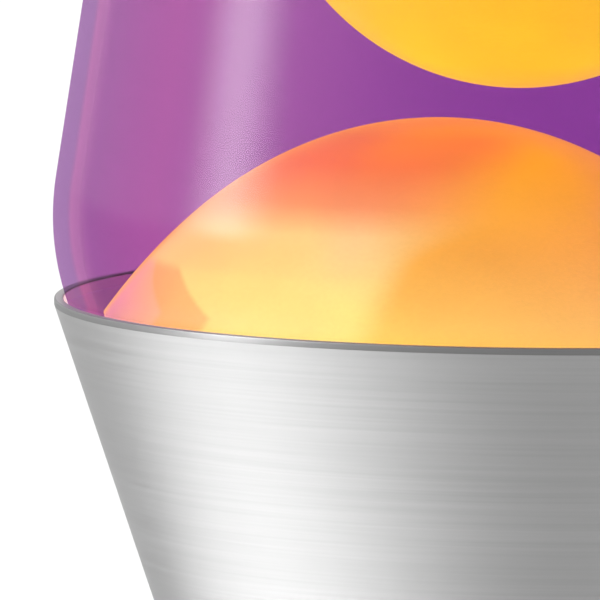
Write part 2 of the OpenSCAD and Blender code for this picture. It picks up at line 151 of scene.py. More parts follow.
def arc(cx, cz, r, start, end, steps):
    """Points along an arc from one angle to the other, in degrees."""
    angles = [math.radians(start + (end - start) * i / steps) for i in range(steps + 1)]
    return [(cx + r * math.cos(a), cz + r * math.sin(a)) for a in angles]


def globe_arcs():
    """Centres and radii of the globe's arcs, in the order foot corner, belly, shoulder, throat."""
    cone, taper, turn = (math.radians(a) for a in (CONE_ANGLE, TAPER_ANGLE, SHOULDER_TURN))
    belly = (BELLY_R - BELLY_ARC_R, RIM_Z + BELLY_RISE)
    seat = (belly[0] + BELLY_ARC_R * math.cos(cone), belly[1] - BELLY_ARC_R * math.sin(cone))
    foot_z = GLOBE_FOOT_Z + FOOT_CORNER_R
    foot = (seat[0] - (seat[1] - foot_z) / CONE_FALL - FOOT_CORNER_R / math.cos(cone), foot_z)
    top = (belly[0] + BELLY_ARC_R * math.cos(taper), belly[1] + BELLY_ARC_R * math.sin(taper))
    edge = top[0] - TAPER * (SHOULDER_Z - top[1])
    shoulder = (edge - SHOULDER_R * math.cos(taper), SHOULDER_Z - SHOULDER_R * math.sin(taper))
    end_r = shoulder[0] + SHOULDER_R * math.cos(turn)
    throat_r = (end_r - NECK_R) / (1 - math.cos(turn))
    reach = SHOULDER_R + throat_r
    throat = (shoulder[0] + reach * math.cos(turn), shoulder[1] + reach * math.sin(turn))
    return foot, belly, shoulder, throat, throat_r


FOOT_C, BELLY_C, SHOULDER_C, THROAT_C, THROAT_R = globe_arcs()


def globe_outline(inset):
    """The globe's half outline from the middle of its foot to the top of its neck, drawn in by inset."""
    return [
        (0, GLOBE_FOOT_Z + PUNT_H + inset),
        *arc(PUNT_R, GLOBE_FOOT_Z + inset + 4 * PUNT_H, 4 * PUNT_H, -140, -90, 8),
        *arc(*FOOT_C, FOOT_CORNER_R - inset, -90, -CONE_ANGLE, 16),
        *arc(*BELLY_C, BELLY_ARC_R - inset, -CONE_ANGLE, TAPER_ANGLE, 28),
        *arc(*SHOULDER_C, SHOULDER_R - inset, TAPER_ANGLE, SHOULDER_TURN, 18),
        *arc(*THROAT_C, THROAT_R + inset, 180 + SHOULDER_TURN, 180, 16),
        (NECK_R - inset, NECK_TOP_Z - BEAD_H - BEAD_SLOPE_H),
    ]


def cut_at(outline, z):
    """The part of a rising outline below z, closed to the axis by a flat top."""
    kept = [p for p in outline if p[1] <= z]
    (r0, z0), (r1, z1) = kept[-1], outline[len(kept)]
    edge = r0 + (r1 - r0) * (z - z0) / (z1 - z0)
    return [*kept, (edge, z), (0, z)]


# ---------------------------------------------------------------- meshes


def finish_mesh(mesh, sharp=35):
    for p in mesh.polygons:
        p.use_smooth = True
    mesh.set_sharp_from_angle(angle=math.radians(sharp))
    mesh.validate()
    mesh.update()


def turned(name, outline, closed=True, bands=None, sharp=35, at=(0, 0), steps=TURN_STEPS):
    """A solid of revolution from (radius, height) points.

    bands gives a material index to a run of the outline's spans, as {index: (first span, last span)}."""
    verts, rows = [], []
    for r, z in outline:
        if r < 1e-9:
            rows.append([len(verts)])
            verts.append((at[0], at[1], z))
        else:
            start = len(verts)
            for k in range(steps):
                a = 2 * math.pi * k / steps
                verts.append((at[0] + r * math.cos(a), at[1] + r * math.sin(a), z))
            rows.append(list(range(start, start + steps)))
    pairs = list(zip(rows, rows[1:] + rows[:1])) if closed else list(zip(rows, rows[1:]))
    faces, spans = [], []
    for i, (a, b) in enumerate(pairs):
        if len(a) == 1 and len(b) == 1:
            continue
        for k in range(steps):
            m = (k + 1) % steps
            if len(a) == 1:
                faces.append((a[0], b[m], b[k]))
            elif len(b) == 1:
                faces.append((a[k], a[m], b[0]))
            else:
                faces.append((a[k], a[m], b[m], b[k]))
            spans.append(i)
    mesh = bpy.data.meshes.new(name)
    mesh.from_pydata(verts, [], faces)
    for index, (first, last) in (bands or {}).items():
        for p in mesh.polygons:
            if first <= spans[p.index] <= last:
                p.material_index = index
    finish_mesh(mesh, sharp)
    piece = bpy.data.objects.new(name, mesh)
    bpy.context.scene.collection.objects.link(piece)
    return piece


def stand_in(piece, node, slot, *materials):
    """Gives a piece its materials, and puts it in place of a CAD node on that node's body."""
    for m in materials:
        piece.data.materials.append(m)
    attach(piece, NODES[node]["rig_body"])
    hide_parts(node)
    return piece


# ---------------------------------------------------------------- shader node helpers


def new_material(name):
    m = bpy.data.materials.new(name)
    m.use_nodes = True
    m.node_tree.nodes.clear()
    return m


def add(m, kind, inputs=None, **settings):
    """A node with its settings and the plain values of its inputs; an input given as a socket is linked."""
    n = m.node_tree.nodes.new(kind)
    for k, v in settings.items():
        setattr(n, k, v)
    for k, v in (inputs or {}).items():
        if isinstance(v, bpy.types.NodeSocket):
            m.node_tree.links.new(v, n.inputs[k])
        else:
            n.inputs[k].default_value = v
    return n


def output(m, surface, volume=None):
    out = add(m, "ShaderNodeOutputMaterial", {"Surface": surface})
    if volume is not None:
        m.node_tree.links.new(volume, out.inputs["Volume"])
    return m


def maths(m, operation, *values):
    return add(m, "ShaderNodeMath", dict(enumerate(values)), operation=operation).outputs[0]


def remap(m, value, start, end, to_start=0.0, to_end=1.0, smooth=False):
    """Where value lies between start and end, as a number from to_start to to_end that stops at both ends."""
    return add(m, "ShaderNodeMapRange", {
        "Value": value, "From Min": start, "From Max": end, "To Min": to_start, "To Max": to_end},
        interpolation_type="SMOOTHSTEP" if smooth else "LINEAR").outputs[0]


def noise(m, where, scale, detail=2.0):
    return add(m, "ShaderNodeTexNoise", {"Vector": where, "Scale": scale, "Detail": detail}).outputs[0]


def ramp(m, factor, stops):
    """A colour ramp through (place, colour) stops."""
    n = add(m, "ShaderNodeValToRGB", {"Fac": factor})
    while len(n.color_ramp.elements) < len(stops):
        n.color_ramp.elements.new(0.5)
    for e, (place, colour) in zip(n.color_ramp.elements, stops):
        e.position = place
        e.color = (*colour, 1)
    return n.outputs["Color"]


def blend(m, factor, first, second):
    """From the first colour at factor 0 to the second at 1."""
    mix = add(m, "ShaderNodeMix", {"Factor": factor, "A": first, "B": second}, data_type="RGBA")
    return mix.outputs["Result"]


def vectors(m, operation, first, second):
    return add(m, "ShaderNodeVectorMath", {0: first, 1: second}, operation=operation).outputs[0]


def position(m):
    return add(m, "ShaderNodeTexCoord").outputs["Object"]


def around_axis(m):
    """(angle in radians, radius, height) about the lamp's axis, in metres."""
    xyz = add(m, "ShaderNodeSeparateXYZ", {0: position(m)}).outputs
    angle = maths(m, "ARCTAN2", xyz["Y"], xyz["X"])
    squares = maths(m, "ADD", maths(m, "POWER", xyz["X"], 2.0), maths(m, "POWER", xyz["Y"], 2.0))
    return angle, maths(m, "SQRT", squares), xyz["Z"]


GLASS_IOR = 1.5


def front_gloss(m, most):
    """How much of a clear surface is its mirror: by Fresnel up to most, and on its outer side only."""
    edge = add(m, "ShaderNodeFresnel", {"IOR": GLASS_IOR}).outputs[0]
    front = maths(m, "SUBTRACT", 1.0, add(m, "ShaderNodeNewGeometry").outputs["Backfacing"])
    return maths(m, "MULTIPLY", maths(m, "MINIMUM", edge, most), front)


def shades(colour, darker):
    """A noise ramp's stops, from a darker shade of a colour to the colour itself."""
    return [(0.3, tuple(c * darker for c in colour)), (0.7, colour)]


# ---------------------------------------------------------------- materials

# brush lines: how far they wander along the turn, how many there are to a metre of height, and their detail
BRUSH_LINES = ((1.6, 3400.0, 3.0), (1.2, 1100.0, 2.0))
FINE_LINE_SHARE = 0.65


def brushed_metal(name, colour, edge_tint, roughness=0.42):
    """Spun aluminium with fine brush lines round the axis."""
    m = new_material(name)
    angle, _, height = around_axis(m)
    turn = add(m, "ShaderNodeCombineXYZ", {
        "X": maths(m, "COSINE", angle), "Y": maths(m, "SINE", angle)}).outputs[0]
    lines = []
    for wander, pitch, detail in BRUSH_LINES:
        along = vectors(m, "MULTIPLY", turn, (wander, wander, 0))
        up = add(m, "ShaderNodeCombineXYZ", {"Z": maths(m, "MULTIPLY", height, pitch)}).outputs[0]
        lines.append(noise(m, vectors(m, "ADD", along, up), 1.0, detail))
    fine, broad = lines
    both = maths(m, "ADD", maths(m, "MULTIPLY", fine, FINE_LINE_SHARE),
                 maths(m, "MULTIPLY", broad, 1 - FINE_LINE_SHARE))
    dark = tuple(c * 0.93 for c in colour)
    light = tuple(c * 1.07 for c in colour)
    bump = add(m, "ShaderNodeBump", {"Height": fine, "Strength": 0.1, "Distance": 0.02 * MM}).outputs[0]
    tangent = add(m, "ShaderNodeTangent", direction_type="RADIAL", axis="Z").outputs[0]
    metal = add(m, "ShaderNodeBsdfPrincipled", {
        "Base Color": ramp(m, both, [(0.3, dark), (0.7, light)]), "Metallic": 1.0,
        "Roughness": remap(m, both, 0.3, 0.7, roughness - 0.04, roughness + 0.04),
        "Anisotropic": 0.5, "Anisotropic Rotation": 0.25, "Specular Tint": (*edge_tint, 1),
        "Tangent": tangent, "Normal": bump})
    return output(m, metal.outputs[0])


def satin(name, colour, painted_glow_colour=(0, 0, 0)):
    """The pale matt inside of the spun shells.

    Near the rim it can take a painted glow, emission that stands in for the light of the globe that rests on
    it and grows towards the rim."""
    m = new_material(name)
    where = position(m)
    mottle = noise(m, where, 160.0, 4.0)
    height = add(m, "ShaderNodeSeparateXYZ", {0: where}).outputs["Z"]
    # painted glow: emission of the given colour, rising with height up to the rim
    body = add(m, "ShaderNodeBsdfPrincipled", {
        "Base Color": ramp(m, mottle, shades(colour, 0.92)), "Metallic": 0.3,
        "Roughness": remap(m, mottle, 0.0, 1.0, 0.5, 0.7), "Emission Color": (*painted_glow_colour, 1),
        "Emission Strength": remap(m, height, GLOBE_FOOT_Z, RIM_Z, smooth=True)})
    return output(m, body.outputs[0])


def plain_metal(name, colour, roughness=0.3):
    """Small metal parts: a little uneven in colour and polish."""
    m = new_material(name)
    mottle = noise(m, position(m), 900.0, 3.0)
    body = add(m, "ShaderNodeBsdfPrincipled", {
        "Base Color": ramp(m, mottle, shades(colour, 0.85)), "Metallic": 1.0,
        "Roughness": remap(m, mottle, 0.0, 1.0, roughness - 0.06, roughness + 0.1)})
    return output(m, body.outputs[0])


def grained(name, dark, light, roughness, grain, depth, coat=0.0):
    """A solid material with a fine grain: rubber, enamel or glazed porcelain."""
    m = new_material(name)
    where = position(m)
    fine = noise(m, where, grain, 5.0)
    broad = noise(m, where, grain / 12)
    both = maths(m, "MULTIPLY", maths(m, "ADD", fine, broad), 0.5)
    bump = add(m, "ShaderNodeBump", {"Height": fine, "Strength": 0.4, "Distance": depth}).outputs[0]
    body = add(m, "ShaderNodeBsdfPrincipled", {
        "Base Color": ramp(m, both, [(0.35, dark), (0.65, light)]),
        "Roughness": remap(m, broad, 0.0, 1.0, roughness - 0.08, roughness + 0.08),
        "Normal": bump, "Coat Weight": coat, "Coat Roughness": 0.08})
    return output(m, body.outputs[0])


def clear_glass(name, tint, milk=0.0):
    """Thin clear glass, with a little milkiness where it was drawn out."""
    m = new_material(name)
    clear = add(m, "ShaderNodeBsdfTransparent", {"Color": (*tint, 1)}).outputs[0]
    gloss = add(m, "ShaderNodeBsdfGlossy", {"Color": (0.8, 0.8, 0.8, 1), "Roughness": 0.05}).outputs[0]
    share = maths(m, "ADD", front_gloss(m, 0.35), milk)
    return output(m, add(m, "ShaderNodeMixShader", {0: share, 1: clear, 2: gloss}).outputs[0])


def hot_wire(name, colour, strength):
    m = new_material(name)
    heat = ramp(m, noise(m, position(m), 600.0), shades(colour, 0.8))
    body = add(m, "ShaderNodeBsdfPrincipled", {
        "Base Color": (0.3, 0.3, 0.3, 1), "Metallic": 1.0, "Roughness": 0.4,
        "Emission Color": heat, "Emission Strength": strength})
    return output(m, body.outputs[0])


def tinted_glass(name, tints_and_painted_reflections):
    """Clear tinted glass that shows straight through, with the weak mirror of a polished surface.

    The tint ramp runs from a surface seen square on to one seen edge on. Its stops are partly the glass's own
    tint and partly painted reflection: its lighter and warmer stops stand in for reflections near the edge
    and part way out."""
    m = new_material(name)
    facing = add(m, "ShaderNodeLayerWeight", {"Blend": 0.5}).outputs["Facing"]
    clear = add(m, "ShaderNodeBsdfTransparent", {"Color": ramp(m, facing, tints_and_painted_reflections)}).outputs[0]
    gloss = add(m, "ShaderNodeBsdfGlossy", {"Color": (0.45, 0.45, 0.45, 1), "Roughness": 0.18}).outputs[0]
    share = front_gloss(m, 0.14)
    return output(m, add(m, "ShaderNodeMixShader", {0: share, 1: clear, 2: gloss}).outputs[0])


def inner_glass(name):
    """The inner face of the same glass, which has next to no mirror of its own against the liquid."""
    m = new_material(name)
    return output(m, add(m, "ShaderNodeBsdfTransparent", {"Color": (0.985, 0.97, 0.985, 1)}).outputs[0])


def clear_liquid(name, colour, density):
    m = new_material(name)
    clear = add(m, "ShaderNodeBsdfTransparent", {"Color": (1, 1, 1, 1)}).outputs[0]
    depth = add(m, "ShaderNodeVolumeAbsorption", {"Color": (*colour, 1), "Density": density}).outputs[0]
    return output(m, clear, depth)


# ---------------------------------------------------------------- the wax's materials

# The wax's colours are a painted glow, emission that stands in for the bulb's light shining through it.
# They are brighter than white here, because the glass and the liquid in front of it take light away.
# Levels in the mound run from 0 at the rim to 1 at its crest.

# patches of painted light round the axis, where the bulb's light would come through, and the angle of the
# first of them, whose edges are the clearest
PATCHES = 3
PATCH_AT = -150
# from this far round from the first patch to that far, the patches' edges grow soft and wander
CLEAR_WITHIN = 35
SOFT_BEYOND = 70
# the patches fade out between these distances from the axis
PATCH_FADE = (3 * MM, 14 * MM)
# the painted refraction below the belly leans by this share of a turn from the rim to the crest
PAINTED_REFRACTION_LEAN = 0.167
# the mound's painted glow by level, in the patches of painted light and between them: yellow towards the rim
# as painted light from the bulb below, deeper orange higher up
MOUND_LIT = [
    (0.0, (1.3, 2.0, 0.33)), (0.45, (1.3, 1.72, 0.31)), (0.6, (1.25, 0.85, 0.15)),
    (0.8, (1.22, 0.46, 0.07)), (0.92, (1.25, 0.53, 0.05)), (1.0, (1.4, 0.9, 0.03))]
MOUND_PLAIN = [
    (0.0, (1.4, 1.5, 0.16)), (0.4, (1.38, 1.3, 0.07)), (0.8, (1.4, 1.3, 0.01)), (1.0, (1.5, 1.3, 0.0))]
# painted refraction: what the globe's lower curve makes of the first patch, by shares of a turn with the
# patch's middle at 0.5:
# a pink facet, an orange one, and the patch's own yellow
MOUND_PAINTED_REFRACTION = [
    (0.4, (1.3, 1.95, 0.33)), (0.425, (1.05, 0.86, 0.62)), (0.478, (1.15, 1.3, 0.36)),
    (0.48, (1.25, 1.2, 0.2)), (0.505, (1.25, 1.35, 0.22)),
    (0.507, (1.3, 2.0, 0.33)), (0.6, (1.3, 1.95, 0.33))]
# the painted glow of a floating drop, yellow at its foot as painted light from below, from its bottom, 0, to
# its top, 1
DROP_PAINTED_GLOW = [
    (0.0, (1.6, 2.0, 0.07)), (0.06, (1.6, 2.3, 0.03)), (0.16, (1.6, 1.85, 0.02)),
    (0.5, (1.55, 1.6, 0.015)), (0.8, (1.5, 1.2, 0.01)), (1.0, (1.45, 0.95, 0.01))]


def glow(m, colour):
    """Soft wax with a painted glow, emission that stands in for the bulb's light, a little cloudy and grainy
    inside.
    """
    where = position(m)
    cloud = noise(m, where, 110.0)
    grain = noise(m, where, 2600.0, 1.0)
    both = maths(m, "ADD", maths(m, "MULTIPLY", cloud, 0.6), maths(m, "MULTIPLY", grain, 0.4))
    body = add(m, "ShaderNodeBsdfPrincipled", {
        "Base Color": (0.4, 0.16, 0.02, 1), "Roughness": 0.35,
        "Emission Color": colour, "Emission Strength": remap(m, both, 0.3, 0.7, 0.93, 1.07)})
    return output(m, body.outputs[0])


def patch_share(m, turned_by, round_patch, radius, level):
    """How far a place on the mound is in a patch of painted light, from 0 to 1."""
    away = remap(m, maths(m, "ABSOLUTE", round_patch), math.radians(CLEAR_WITHIN), math.radians(SOFT_BEYOND))
    wander = maths(m, "MULTIPLY", maths(m, "SUBTRACT", noise(m, position(m), 45.0), 0.5), away)
    wandering = maths(m, "ADD", turned_by, maths(m, "MULTIPLY", wander, 2.2))
    wave = maths(m, "COSINE", maths(m, "MULTIPLY", wandering, float(PATCHES)))
    # higher up, the patches are wider and their edges softer
    upper = remap(m, level, 0.3, 0.6, smooth=True)
    start = maths(m, "MULTIPLY", upper, -0.7)
    end = maths(m, "MULTIPLY_ADD", upper, 0.5, maths(m, "MULTIPLY_ADD", away, 1.1, 0.35))
    sector = remap(m, wave, start, end, smooth=True)
    return maths(m, "MULTIPLY", sector, remap(m, radius, *PATCH_FADE, smooth=True))


def mound_wax(name):
    """Wax over the bulb, with a painted glow: yellow patches of painted light where the bulb's light would
    come through, between deeper orange ones.
    """
    m = new_material(name)
    angle, radius, height = around_axis(m)
    turned_by = maths(m, "SUBTRACT", angle, math.radians(PATCH_AT))
    round_patch = maths(m, "ARCTAN2", maths(m, "SINE", turned_by), maths(m, "COSINE", turned_by))
    level = remap(m, maths(m, "SUBTRACT", height, RIM_Z), 0.0, CREST_Z - RIM_Z)
    place = remap(m, round_patch, -math.pi, math.pi)
    leaning = maths(m, "ADD", place, maths(m, "MULTIPLY", level, PAINTED_REFRACTION_LEAN))
    # below the belly the first patch is painted as the globe's lower curve refracts it
    below_belly = remap(m, level, 0.2, 0.26, 1.0, 0.0, smooth=True)
    patch = blend(m, below_belly, ramp(m, level, MOUND_LIT), ramp(m, leaning, MOUND_PAINTED_REFRACTION))
    in_patch = patch_share(m, turned_by, round_patch, radius, level)
    return glow(m, blend(m, in_patch, ramp(m, level, MOUND_PLAIN), patch))


def floating_wax(name):
    """A drop of wax with a painted glow: yellow at its foot as painted light from below, orange at its top.
    """
    m = new_material(name)
    where = add(m, "ShaderNodeTexCoord").outputs
    rise = add(m, "ShaderNodeSeparateXYZ", {0: where["Generated"]}).outputs["Z"]
    cloud = maths(m, "SUBTRACT", noise(m, where["Object"], 40.0), 0.5)
    level = maths(m, "ADD", rise, maths(m, "MULTIPLY", cloud, 0.12))
    return glow(m, ramp(m, level, DROP_PAINTED_GLOW))


# ---------------------------------------------------------------- camera, light and floor

# the camera: its elevation, its distance, the width that it sees at that distance, and what it looks at
ELEVATION = math.radians(5.6)
DISTANCE = 1.2
FRAME_W = 57.6 * MM
AIM = Vector((-26.4 * MM, 0, RIM_Z - 0.4 * MM))
# strength of the walls as the object mirrors them, in front and behind, and at its sides
WALL_LIGHT = (0.75, 1.7)
# the walls' strength as the camera sees them
WALL_SEEN = 1.1
# the tall strip light on each side: its azimuth, half its width in degrees, its strength, and the heights,
# as sines of the elevation, between which it fades out
STRIP_AT = 84
STRIP_HALF = 12.5
STRIP_LIGHT = 15.0
STRIP_FADE = (0.5, 0.7)
# the soft spots on the floor at both sides: place, lamp height, cone angle and power
SPOT_OUT = 0.18
SPOT_BACK = 0.01
SPOT_HEIGHT = 0.55
SPOT_ANGLE = 42
SPOT_POWER = 54
# the floor's grey in the object's mirror, its white as the camera sees it, and its radius
FLOOR_MIRRORED = (0.45, 0.45, 0.45, 1)
FLOOR_SEEN = (0.78, 0.78, 0.78, 1)
FLOOR_R = 60


def placed(name, data):
    """A new object for a camera or a lamp, in the scene."""
    obj = bpy.data.objects.new(name, data)
    bpy.context.scene.collection.objects.link(obj)
    return obj


def camera():
    cam = bpy.data.cameras.new("camera")
    cam.sensor_width = 36
    cam.lens = cam.sensor_width / 2 / (FRAME_W / 2 / DISTANCE)
    cam.clip_start = 0.05
    cam.clip_end = 200
    obj = placed("camera", cam)
    back = Vector((0, -math.cos(ELEVATION), math.sin(ELEVATION)))
    obj.location = AIM + back * DISTANCE
    obj.rotation_mode = "QUATERNION"
    obj.rotation_quaternion = (-back).to_track_quat("-Z", "Y")
    bpy.context.scene.camera = obj


def floor_spot(side):
    """A soft spot straight down on the floor beside the lamp, for the metal to mirror."""
    lamp = bpy.data.lights.new("floor_spot", "SPOT")
    lamp.energy = SPOT_POWER
    lamp.spot_size = math.radians(SPOT_ANGLE)
    lamp.spot_blend = 1.0
    lamp.shadow_soft_size = 0.03
    placed("floor_spot", lamp).location = (side * SPOT_OUT, SPOT_BACK, SPOT_HEIGHT)


def bulb_light():
    """What the bulb adds inside the base; its own glow is a material."""
    lamp = bpy.data.lights.new("bulb_light", "POINT")
    lamp.energy = 0.08
    lamp.color = (1.0, 0.8, 0.55)
    lamp.shadow_soft_size = 8 * MM
    lo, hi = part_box("bulb_glass")
    placed("bulb_light", lamp).location = (0, 0, hi.z - (hi.x - lo.x) / 2)


def from_camera(m):
    return add(m, "ShaderNodeLightPath").outputs["Is Camera Ray"]


def studio_walls(world):
    """Strength of the white walls: brighter at the object's sides, with a tall strip light on each side."""
    way = add(world, "ShaderNodeTexCoord").outputs["Generated"]
    xyz = add(world, "ShaderNodeSeparateXYZ", {0: way}).outputs
    walls = remap(world, maths(world, "POWER", xyz["X"], 2.0), 0.0, 1.0, *WALL_LIGHT)
    to_front = maths(world, "MULTIPLY", xyz["Y"], -1.0)
    azimuth = maths(world, "ARCTAN2", maths(world, "ABSOLUTE", xyz["X"]), to_front)
    off = maths(world, "ABSOLUTE", maths(world, "SUBTRACT", azimuth, math.radians(STRIP_AT)))
    across = remap(world, off, 0.0, math.radians(STRIP_HALF), 1.0, 0.0)
    upward = remap(world, xyz["Z"], *STRIP_FADE, 1.0, 0.0)
    strip = maths(world, "MULTIPLY", maths(world, "MULTIPLY", across, upward), STRIP_LIGHT)
    mirrored = maths(world, "ADD", walls, strip)
    seen = add(world, "ShaderNodeMix", {"Factor": from_camera(world), "A": mirrored, "B": WALL_SEEN})
    return seen.outputs["Result"]


def studio_floor():
    floor = turned("floor", [(0, 0), (FLOOR_R, 0)], closed=False, steps=64)
    m = new_material("floor_white")
    colour = blend(m, from_camera(m), FLOOR_MIRRORED, FLOOR_SEEN)
    output(m, add(m, "ShaderNodeBsdfDiffuse", {"Color": colour}).outputs[0])
    floor.data.materials.append(m)


def studio():
    world = bpy.data.worlds.new("studio")
    bpy.context.scene.world = world
    bpy.context.scene.view_settings.view_transform = "Standard"
    world.use_nodes = True
    background = world.node_tree.nodes["Background"]
    background.inputs["Color"].default_value = (1, 1, 1, 1)
    world.node_tree.links.new(studio_walls(world), background.inputs["Strength"])
    for side in (-1, 1):
        floor_spot(side)
    bulb_light()
    studio_floor()


# ---------------------------------------------------------------- pieces of the base and cap


def upper_cone(metal, shaded_lip, inside):
    """The cone that the globe stands in: spun sheet with a band and a hem at its rim."""
    wall = SHEET_T / math.cos(math.radians(CONE_ANGLE))
    inner_waist = WAIST_R - wall
    hem_r = min(inner_waist + (RIM_Z - HEM_H - WAIST_Z) / CONE_FALL, RIM_R - RIM_W)
    outline = [
        (WAIST_HOLE_R, WAIST_Z), (WAIST_R, WAIST_Z), (RIM_R, RIM_Z - RIM_BAND_H), (RIM_R, RIM_Z - RIM_EDGE),
        *arc(RIM_R - RIM_EDGE, RIM_Z - RIM_EDGE, RIM_EDGE, 15, 90, 4),
        *arc(RIM_R - RIM_W + RIM_EDGE, RIM_Z - RIM_EDGE, RIM_EDGE, 90, 180, 4),
        (RIM_R - RIM_W, RIM_Z - HEM_H), (hem_r, RIM_Z - HEM_H - HEM_STEP),
        (inner_waist + SHEET_T / CONE_FALL, WAIST_Z + SHEET_T), (WAIST_HOLE_R, WAIST_Z + SHEET_T),
    ]
    # the rolled rim's spans take a darker copy of the brushed metal: painted shade
    shaded_lip_spans = (2, 7)
    inside_spans = (13, 17)
    piece = turned("base_upper_cone_spun", outline, bands={1: shaded_lip_spans, 2: inside_spans}, sharp=12)
    return stand_in(piece, "base_upper_cone", "brushed_cone", metal, shaded_lip, inside)


def drill_inlet(piece, lean):
    """Cuts the hole that the cord's grommet sits in, square to the leaning wall at the back."""
    lo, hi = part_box("cord_grommet")
    cutter = bpy.data.objects.new("inlet_cutter", bpy.data.meshes.new("inlet_cutter"))
    bpy.context.scene.collection.objects.link(cutter)
    shape = bmesh.new()
    bmesh.ops.create_cone(shape, cap_ends=True, segments=64, radius1=INLET_R, radius2=INLET_R,
                          depth=INLET_CUT)
    shape.to_mesh(cutter.data)
    shape.free()
    cutter.location = (lo + hi) / 2
    cutter.rotation_euler = (lean - math.pi / 2, 0, 0)
    cut = piece.modifiers.new("inlet", "BOOLEAN")
    cut.operation = "DIFFERENCE"
    cut.solver = "EXACT"
    cut.object = cutter
    drilled = bpy.data.meshes.new_from_object(piece.evaluated_get(bpy.context.evaluated_depsgraph_get()))
    piece.modifiers.remove(cut)
    piece.data = drilled
    bpy.data.objects.remove(cutter)
    finish_mesh(drilled, 25)


def lower_cone(metal, inside):
    """The foot: a spun cone with a rolled waist, a soft edge at the table and a ledge for the plate."""
    slope = (FOOT_R - WAIST_R) / (WAIST_Z - LEDGE_Z)
    wall = SHEET_T * math.hypot(1, slope)
    waist_in = WAIST_R - wall
    outline = [
        (WAIST_HOLE_R, WAIST_Z), (WAIST_HOLE_R, WAIST_Z - SHEET_T),
        (waist_in + slope * SHEET_T, WAIST_Z - SHEET_T),
        (FOOT_R - wall - slope * SHEET_T, LEDGE_Z + SHEET_T), (FOOT_R - LEDGE_W, LEDGE_Z + SHEET_T),
        (FOOT_R - LEDGE_W, LEDGE_Z), *arc(FOOT_R - FOOT_EDGE, LEDGE_Z + FOOT_EDGE, FOOT_EDGE, -90, 10, 6),
        (WAIST_R, WAIST_Z),
    ]
    inside_spans = (0, 4)
    piece = turned("base_lower_cone_spun", outline, bands={1: inside_spans}, sharp=25)
    drill_inlet(piece, math.atan(slope))
    return stand_in(piece, "base_lower_cone", "brushed_cone", metal, inside)


def cap(metal, inside):
    """A spun tapered cap with a rounded crown, open below."""
    fall = (CAP_BOTTOM_R - CAP_TOP_R) / (TOP_Z - CAP_BOTTOM_Z)
    wall = SHEET_T * math.hypot(1, fall)
    lean = math.degrees(math.atan(fall))
    crown = (CAP_TOP_R - CAP_ROUND_R, TOP_Z - CAP_ROUND_R)
    hem_r = SHOULDER_C[0] + SHOULDER_R * math.cos(math.radians(TAPER_ANGLE)) + PART_GAP
    outline = [
        (hem_r, CAP_BOTTOM_Z), (CAP_BOTTOM_R - HEM_EDGE, CAP_BOTTOM_Z),
        *arc(CAP_BOTTOM_R - HEM_EDGE, CAP_BOTTOM_Z + HEM_EDGE, HEM_EDGE, -70, 5, 4),
        *arc(*crown, CAP_ROUND_R, lean, 90, 12), (0, TOP_Z),
        (0, TOP_Z - SHEET_T), (crown[0] - CROWN_STEP, TOP_Z - SHEET_T),
        (CAP_TOP_R - wall, crown[1] - SHEET_T),
        (CAP_BOTTOM_R - wall - fall * HEM_H, CAP_BOTTOM_Z + HEM_H), (hem_r, CAP_BOTTOM_Z + HEM_H - HEM_STEP),
    ]
    inside_spans = (len(outline) - 5, len(outline))
    piece = turned("top_cap_spun", outline, bands={1: inside_spans}, sharp=25)
    return stand_in(piece, "top_cap", "brushed_cone", metal, inside)


def globe_shell(glass, inside):
    """The blown globe, open at its beaded neck."""
    outer = globe_outline(0)
    inner = globe_outline(GLASS_T)
    bead = [
        (NECK_R + BEAD_OUT, NECK_TOP_Z - BEAD_H), (NECK_R + BEAD_OUT, NECK_TOP_Z - BEAD_OUT),
        (NECK_R, NECK_TOP_Z), (NECK_R - GLASS_T, NECK_TOP_Z),
    ]
    first_inside = len(outer) + len(bead) - 1
    inside_spans = (first_inside, first_inside + len(inner))
    outline = [*outer, *bead, *reversed(inner)]
    piece = turned("globe_glass_blown", outline, bands={1: inside_spans}, sharp=50)
    return stand_in(piece, "globe_glass", "globe_clear", glass, inside)


def liquid_body(liquid):
    """The liquid as one closed body, with the wax inside it."""
    outline = cut_at(globe_outline(GLASS_T + FILL_GAP), LIQUID_TOP_Z)
    piece = turned("lamp_liquid_fill", outline, sharp=50)
    return stand_in(piece, "lamp_liquid", "liquid", liquid)


def blob(node, wax):
    """A body of wax with a round lower part and a taller upper part, in its CAD node's box."""
    lo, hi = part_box(node)
    r = (hi.x - lo.x) / 2
    mid = lo.z + r
    lower = arc(0, mid, r, -90, 0, 32)
    upper = [(p[0], mid + (p[1] - mid) * (hi.z - mid) / r) for p in arc(0, mid, r, 2, 90, 40)]
    outline = [(0, lo.z), *lower[1:], *upper[:-1], (0, hi.z)]
    at = ((lo.x + hi.x) / 2, (lo.y + hi.y) / 2)
    piece = turned(node + "_soft", outline, closed=False, sharp=80, at=at, steps=BLOB_STEPS)
    return stand_in(piece, node, "wax", wax)


def dome_height(rho):
    """Height of the mound's surface at a distance from its own axis."""
    if rho <= MOUND_SIDE_R:
        return CREST_Z - CREST_BEND * rho**2 - FLANK_BEND * rho**4
    side = CREST_Z - CREST_BEND * MOUND_SIDE_R**2 - FLANK_BEND * MOUND_SIDE_R**4
    points = [(MOUND_SIDE_R, side), *MOUND_SKIRT]
    for (r0, z0), (r1, z1) in zip(points, points[1:]):
        if rho <= r1:
            return z0 + (z1 - z0) * (rho - r0) / (r1 - r0)
    return MOUND_SKIRT[-1][1]


def between(a, b, t):
    return tuple(p + (q - p) * t for p, q in zip(a, b))


